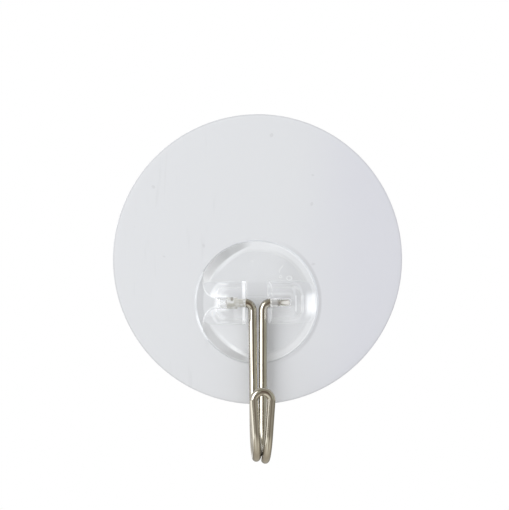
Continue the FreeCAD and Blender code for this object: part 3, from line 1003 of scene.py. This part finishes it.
def rounded_path(corners, radii, spacing):
    """Points along straight runs through the corners, each inner corner rounded by an arc.

    With u and v the unit directions back and onward at a corner, h half the angle between
    them and r the radius, the arc's centre lies r / sin h along u + v, and the arc starts
    r / tan h back from the corner.
    """
    pieces = []
    start = corners[0]
    for before, corner, after, radius in zip(corners, corners[1:], corners[2:], radii):
        back = (before - corner) / np.linalg.norm(before - corner)
        onward = (after - corner) / np.linalg.norm(after - corner)
        half = math.acos(np.clip(back @ onward, -1, 1)) / 2
        bisector = (back + onward) / np.linalg.norm(back + onward)
        centre = corner + bisector * radius / math.sin(half)
        arc_start = corner + back * radius / math.tan(half)
        arc_end = corner + onward * radius / math.tan(half)
        pieces.append(straight(start, arc_start, spacing))
        pieces.append(arc(centre, arc_start, arc_end, spacing))
        start = arc_end
    pieces.append(straight(start, corners[-1], spacing))
    return np.concatenate(pieces)


def straight(start, end, spacing):
    """Evenly spaced points from start up to, but without, end."""
    steps = max(1, round(np.linalg.norm(end - start) / spacing))
    share = np.arange(steps)[:, None] / steps
    return start + (end - start) * share


def arc(centre, start, end, spacing):
    """Evenly spaced points on the shorter arc about the centre, up to, but without, end.

    With a and b the unit directions to start and end and w the angle between them, the
    point at share t is centre + r (sin((1 - t) w) a + sin(t w) b) / sin w.
    """
    radius = np.linalg.norm(start - centre)
    first = (start - centre) / radius
    last = (end - centre) / radius
    sweep = math.acos(np.clip(first @ last, -1, 1))
    steps = max(6, round(radius * sweep / spacing * 2))
    share = np.arange(steps)[:, None] / steps
    mix = np.sin((1 - share) * sweep) * first + np.sin(share * sweep) * last
    return centre + radius * mix / math.sin(sweep)


def wire_line(sizes):
    """The wire's centre line as points, from its left end over the tip loop to its right end.

    Each arm is a polyline with rounded corners: along the pivot, down the leg, out to the
    front and up to where it touches the loop's circle. With c from the arm's foot to the
    loop's centre and r the loop's radius, that is where the turn round the loop is the
    foot's own turn plus the angle whose cosine is r / c.
    """
    thick = sizes.thickness
    span = WIRE_HIGH.x - WIRE_LOW.x
    low = PIVOT.z - WIRE_LOW.z - thick / 2
    loop_drop = sizes.tip_drop + sizes.tip_loop * math.cos(sizes.lean)
    pivot = np.array(PIVOT)

    def at(across, out, down):
        return pivot + np.array((across, -out, -down))

    def in_front(across, out, down):
        turned_across = across * math.cos(sizes.front_turn) - out * math.sin(sizes.front_turn)
        turned_out = across * math.sin(sizes.front_turn) + out * math.cos(sizes.front_turn)
        return at(turned_across, turned_out, down)

    def reach_at(down):
        return sizes.reach + (low - sizes.uneven - down) * math.tan(sizes.lean)

    def arm(side, bottom):
        half_bottom = sizes.pitch_bottom / 2
        along = (loop_drop - bottom) / math.cos(sizes.lean)
        away = math.hypot(half_bottom, along)
        turn = math.atan2(along, half_bottom) + math.acos(sizes.tip_loop / away)
        tip_down = loop_drop - sizes.tip_loop * math.sin(turn) * math.cos(sizes.lean)
        tip_across = sizes.tip_loop * math.cos(turn)
        corners = [
            at(side * span / 2, 0, 0),
            at(side * sizes.pitch_top / 2, 0, 0),
            in_front(side * half_bottom, 0, bottom),
            in_front(side * half_bottom, reach_at(bottom), bottom),
            in_front(side * tip_across, reach_at(tip_down), tip_down),
        ]
        tangents = 1 + math.tan((math.pi / 2 - sizes.lean) / 2)
        bottom_bend = (reach_at(bottom) - sizes.bottom_run) / tangents
        radii = (sizes.top_bend, bottom_bend, bottom_bend)
        return rounded_path(corners, radii, thick / ARM_STEPS), corners[-1]

    left, left_tip = arm(-1, low - sizes.uneven)
    right, right_tip = arm(1, low)
    centre = in_front(0, reach_at(loop_drop), loop_drop)
    top = in_front(0, reach_at(sizes.tip_drop), sizes.tip_drop)
    spacing = thick / LOOP_STEPS
    loop = np.concatenate(
        (arc(centre, left_tip, top, spacing), arc(centre, top, right_tip, spacing))
    )
    right_end = at(span / 2, 0, 0)
    return np.concatenate((left, loop, [right_tip], right[:0:-1], [right_end]))


def tube(line, radius, chamfer, around):
    """Points, faces and surface places of a round wire that follows a line.

    With T the line's direction and K the fixed slanting one, N = T x K and B = T x N,
    both made unit length, and the ring about a point has radius (cos a N + sin a B). The
    end rings are drawn in by the chamfer. The surface place is (r cos a, r sin a, run).
    """
    run = np.concatenate(([0], np.cumsum(np.linalg.norm(np.diff(line, axis=0), axis=1))))
    whole = run[-1]
    clear = run[(run > 2 * chamfer) & (run < whole - 2 * chamfer)]
    stations = np.concatenate(([0, chamfer], clear, [whole - chamfer, whole]))
    spine = np.stack([np.interp(stations, run, part) for part in line.T], axis=-1)
    direction = np.gradient(spine, stations, axis=0)
    direction /= np.linalg.norm(direction, axis=1, keepdims=True)
    sideways = np.cross(direction, np.array(SLANT))
    sideways /= np.linalg.norm(sideways, axis=1, keepdims=True)
    across = np.cross(direction, sideways)
    angle = np.linspace(0, 2 * math.pi, around, endpoint=False)
    circle = np.stack((np.cos(angle), np.sin(angle), np.zeros(around)), axis=-1)
    ring = circle[:, :1] * sideways[:, None] + circle[:, 1:2] * across[:, None]
    size = np.full(len(spine), radius)
    size[[0, -1]] -= chamfer
    rings = spine[:, None] + ring * size[:, None, None]
    points = np.concatenate((rings.reshape(-1, 3), spine[[0, -1]]))
    places = circle * radius + np.array((0, 0, 1)) * stations[:, None, None]
    places = np.concatenate((places.reshape(-1, 3), [(0, 0, 0), (0, 0, whole)]))
    return points, capped_faces(len(spine), around), places


def shear_end(points, sizes):
    """Points with a flat sheared on the front of the right end, and how much each lies on it.

    The flat is a plane that cuts in evenly from the start of the flat to the wire's end.
    The second result, which paints the flat as a bright glint, grows from 0 to 1 over the last
    tenth of a millimetre in front of it.
    """
    start = WIRE_HIGH.x - sizes.shear_length
    share = (points[:, 0] - start) / sizes.shear_length
    plane = PIVOT.y - sizes.thickness / 2 + sizes.shear_depth * share
    cut = (share > 0) & (points[:, 1] < plane)
    sheared = points.copy()
    sheared[cut, 1] = plane[cut]
    bright = np.clip((plane - points[:, 1]) / (0.1 * MM) + 0.5, 0, 1)
    return sheared, np.where(share > 0, bright, 0.0)


class WALLHOOK_OT_wire(bpy.types.Operator):
    """Make the bent wire: one round section carried along its centre line"""

    bl_idname = "wallhook.wire"
    bl_label = "Bent Wire"

    def execute(self, context):
        sizes = context.scene.wall_hook.wire
        line = wire_line(sizes)
        points, faces, places = tube(line, sizes.thickness / 2, sizes.end_chamfer, sizes.around)
        points, sheared = shear_end(points, sizes)
        piece = new_piece(
            "bent_wire", points, faces, wire_finish(sizes), SWING["child"]
        )
        attribute = piece.data.attributes.new("wire_run", "FLOAT_VECTOR", "POINT")
        attribute.data.foreach_set("vector", places.astype(np.float32).ravel())
        # This attribute also places the painted glint on the sheared flat.
        flat = piece.data.attributes.new("sheared", "FLOAT", "POINT")
        flat.data.foreach_set("value", sheared.astype(np.float32))
        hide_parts("wire_hook")
        return {"FINISHED"}


def backward(turn, rise):
    """Unit direction from the object to something turned to the left and raised."""
    return Vector((
        -math.sin(turn) * math.cos(rise), -math.cos(turn) * math.cos(rise), math.sin(rise)
    ))


def facing(direction, roll=0.0):
    """Axes across, up and back of something that looks along minus the direction."""
    across = Vector((0, 0, 1)).cross(direction).normalized()
    up = direction.cross(across)
    rolled = across * math.cos(roll) - up * math.sin(roll)
    raised = across * math.sin(roll) + up * math.cos(roll)
    return rolled, raised, direction


def placed(axes, where):
    """World matrix from three axes and a place."""
    return Matrix.Translation(where) @ Matrix(axes).transposed().to_4x4()


def add_camera(sizes):
    """A camera that looks at the film's centre from the photo's side."""
    camera = bpy.data.objects.new("camera", bpy.data.cameras.new("camera"))
    camera.data.sensor_fit = "HORIZONTAL"
    camera.data.lens = camera.data.sensor_width * sizes.distance / sizes.frame_width
    camera.data.clip_start = 0.01
    axes = facing(backward(sizes.turn, sizes.rise), sizes.roll)
    where = axes[2] * sizes.distance + axes[0] * sizes.frame_across + axes[1] * sizes.frame_up
    camera.matrix_world = placed(axes, where)
    bpy.context.scene.collection.objects.link(camera)
    bpy.context.scene.camera = camera


def add_softbox(sizes):
    """A lamp for matt surfaces; gloss and plastic show the studio's window in its place."""
    light = bpy.data.lights.new("softbox", "AREA")
    light.shape = "RECTANGLE"
    light.size = sizes.box_width
    light.size_y = sizes.box_height
    light.energy = sizes.box_power
    softbox = bpy.data.objects.new("softbox", light)
    axes = facing(backward(sizes.box_turn, sizes.box_rise))
    softbox.matrix_world = placed(axes, axes[2] * sizes.box_distance)
    softbox.visible_glossy = False
    softbox.visible_transmission = False
    bpy.context.scene.collection.objects.link(softbox)


def light_room(sizes):
    """White behind the object, an even level on matt surfaces, a studio for gloss and plastic.

    The studio is what gloss and clear plastic show of the camera's side. Seen from the
    object it has a tall window to the left, a dark doorway just right of the camera, brown
    shade left of the window and a table below. Turn is the angle round the object, 0
    towards -Y, and height is the sine of the angle above level.
    """
    world = bpy.data.worlds.new("studio")
    bpy.context.scene.world = world
    shading = Shading(world)
    rays = ("Is Camera Ray", "Is Glossy Ray", "Is Transmission Ray")
    seen, mirrored, through = shading.outputs("ShaderNodeLightPath", rays)
    direction = shading.node("ShaderNodeTexCoord", output="Generated")
    across, depth, height = shading.parts(direction)
    turn = shading.maths("ARCTAN2", across, -1.0 * depth)

    window = shading.sector(turn, -58, -34, 8)
    window = window * shading.ease(height, -0.17, -0.09)
    window = window * shading.ease(height, 0.3, 0.85, 1.0, 0.0)
    glow = shading.sector(turn, -80, -30, 8)
    glow = glow * shading.ease(height, -0.2, -0.12)
    glow = glow * shading.ease(height, 0.12, 0.75, 1.0, 0.0)
    doorway = shading.sector(turn, -5, 29, 8)
    wall = shading.ease(turn, math.radians(-50), math.radians(-20))
    studio = shading.blend(wall, sizes.brown, sizes.olive)
    studio = shading.blend(doorway, studio, sizes.doorway)
    studio = shading.blend(shading.ease(height, 0.25, 0.7), studio, sizes.ceiling)
    studio = shading.blend(glow, studio, (sizes.glow,) * 3)
    bright = shading.blend(through, (sizes.window,) * 3, (sizes.window_through,) * 3)
    studio = shading.blend(window, studio, bright)
    studio = shading.blend(shading.ease(depth, -0.1, 0.15), studio, (1.0, 1.0, 1.0))

    near = shading.sector(turn, -50, -18, 10) * shading.ease(height, -0.3, -0.45)
    aside = shading.sector(turn, -140, -62, 12) * shading.band(height, -0.5, -0.05, 0.06)
    table = shading.blend(shading.ease(height, -0.25, -0.8), sizes.table * 0.5, sizes.table)
    table = shading.blend(doorway * 0.6, table, sizes.doorway)
    table = shading.blend(near, table, sizes.cloth)
    table = shading.blend(aside, table, (sizes.glow,) * 3)
    below = shading.ease(height, -0.08, -0.2) * (1.0 - through)
    studio = shading.blend(below, studio, table)

    lit = shading.blend(
        shading.ease(mirrored + through, 0.0, 1.0), (sizes.room_light,) * 3, studio
    )
    colour = shading.blend(seen, lit, (1.0, 1.0, 1.0))
    background = shading.node("ShaderNodeBackground", None, {"Color": colour, "Strength": 1.0})
    shading.node("ShaderNodeOutputWorld", None, {"Surface": background})


def add_floor(sizes):
    """A round floor below the object: its rim is radius (cos a, sin a)."""
    angle = np.linspace(0, 2 * math.pi, FLOOR_STEPS, endpoint=False)
    rim = np.stack((np.cos(angle), np.sin(angle)), axis=-1) * sizes.floor_radius
    points = np.column_stack((rim, np.full(len(rim), -sizes.floor_drop)))
    mesh = bpy.data.meshes.new("floor")
    mesh.from_pydata(points.tolist(), [], [list(range(len(points)))])
    mesh.materials.append(floor_finish(sizes))
    floor = bpy.data.objects.new("floor", mesh)
    bpy.context.scene.collection.objects.link(floor)
    floor.visible_glossy = False
    floor.visible_transmission = False


class WALLHOOK_OT_stage(bpy.types.Operator):
    """Set up the camera, the softbox, the studio and the floor"""

    bl_idname = "wallhook.stage"
    bl_label = "Stage"

    def execute(self, context):
        sizes = context.scene.wall_hook.stage
        add_camera(sizes)
        add_softbox(sizes)
        light_room(sizes)
        add_floor(sizes)
        context.scene.view_settings.view_transform = "Standard"
        return {"FINISHED"}


class WALLHOOK_PT_panel(bpy.types.Panel):
    """Lists the pieces of the wall hook"""

    bl_idname = "WALLHOOK_PT_panel"
    bl_label = "Wall Hook"
    bl_space_type = "VIEW_3D"
    bl_region_type = "UI"
    bl_category = "Wall Hook"

    def draw(self, context):
        for operator in OPERATORS:
            self.layout.operator(operator.bl_idname)


OPERATORS = (
    WALLHOOK_OT_film,
    WALLHOOK_OT_glue,
    WALLHOOK_OT_base,
    WALLHOOK_OT_wire,
    WALLHOOK_OT_stage,
)
CLASSES = (
    FilmSizes, GlueSizes, MouldingSizes, WireSizes, StageSizes, HookSizes,
    *OPERATORS, WALLHOOK_PT_panel,
)


def register():
    for kind in CLASSES:
        bpy.utils.register_class(kind)
    bpy.types.Scene.wall_hook = PointerProperty(type=HookSizes)


def unregister():
    del bpy.types.Scene.wall_hook
    for kind in reversed(CLASSES):
        bpy.utils.unregister_class(kind)


def main():
    register()
    bpy.ops.wallhook.film()
    bpy.ops.wallhook.glue()
    bpy.ops.wallhook.base()
    bpy.ops.wallhook.wire()
    bpy.ops.wallhook.stage()


if __name__ == "__main__":
    main()
